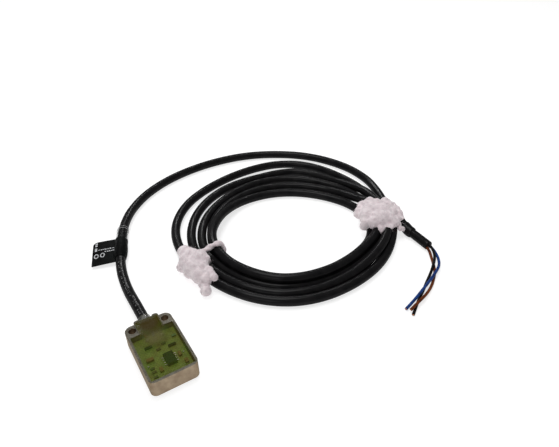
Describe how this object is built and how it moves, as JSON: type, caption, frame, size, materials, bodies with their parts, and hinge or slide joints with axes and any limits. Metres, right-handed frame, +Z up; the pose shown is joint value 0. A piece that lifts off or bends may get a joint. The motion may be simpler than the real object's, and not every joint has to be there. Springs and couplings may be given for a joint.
{
  "type": "proximity sensor",
  "caption": "Flat potted inductive proximity sensor in a die-cast housing with fixing ears and a moulded-in cable, its length coiled and tied with string.",
  "frame": {"origin": "bottom centre of the sensor's own box, on the surface that it lies on; the cable and what is on it are not counted", "axes": "+Z up, out of the potted side; +Y along the housing towards the cable end; +X across the housing"},
  "size_m": [0.1677, 0.1686, 0.0144],
  "materials": {
    "die_casting": "nickel-plated zinc die-casting, satin, lightly cast texture",
    "face_plastic": "fine matt moulded sensing face",
    "ferrite": "sintered ferrite, dull dark grey",
    "bobbin_plastic": "natural moulded plastic",
    "copper": "enamelled copper winding",
    "board_green": "green solder mask over glass laminate, semi-gloss",
    "tin": "tinned metal and solder, slightly dull",
    "package_black": "moulded epoxy package, matt",
    "capacitor_tan": "tan ceramic body",
    "resistor_dark": "dark film on ceramic",
    "led_teal": "clear tinted lens",
    "resin": "clear yellow-green potting resin, slightly cloudy, smooth meniscus",
    "collar_clear": "cloudy clear resin collar",
    "jacket_black": "black PVC cable jacket, soft semi-gloss with fine extrusion lines",
    "wire_brown": "brown PVC insulation, semi-gloss",
    "wire_blue": "blue PVC insulation, semi-gloss",
    "wire_black": "black PVC insulation, semi-gloss",
    "label_black": null,
    "sleeve_clear": "thin clear sleeve",
    "string_white": "white cotton string, twisted, frayed into soft tufts"
  },
  "bodies": {
    "root": {"cable_coil": "jacket_black", "cable_entry": "jacket_black", "cable_gland": "collar_clear", "cable_lead": "jacket_black", "cable_tail": "jacket_black", "chip_capacitors": "capacitor_tan", "chip_leads": "tin", "chip_resistors": "resistor_dark", "circuit_board": "board_green", "coil_bobbin": "bobbin_plastic", "coil_pins": "tin", "coil_winding": "copper", "core_black": "wire_black", "core_blue": "wire_blue", "core_brown": "wire_brown", "ferrite_core": "ferrite", "housing": "die_casting", "label_flag": "label_black", "label_sleeve": "sleeve_clear", "label_wrap": "label_black", "output_transistor": "package_black", "potting_resin": "resin", "protection_diodes": "package_black", "sensing_face_plate": "face_plastic", "sensor_chip": "package_black", "solder_joints": "tin", "status_led": "led_teal", "tail_sleeve": "jacket_black", "tie_left_band": "string_white", "tie_left_tuft": "string_white", "tie_right_band": "string_white", "tie_right_tuft": "string_white", "wire_black": "wire_black", "wire_blue": "wire_blue", "wire_brown": "wire_brown"}
  },
  "joints": []
}
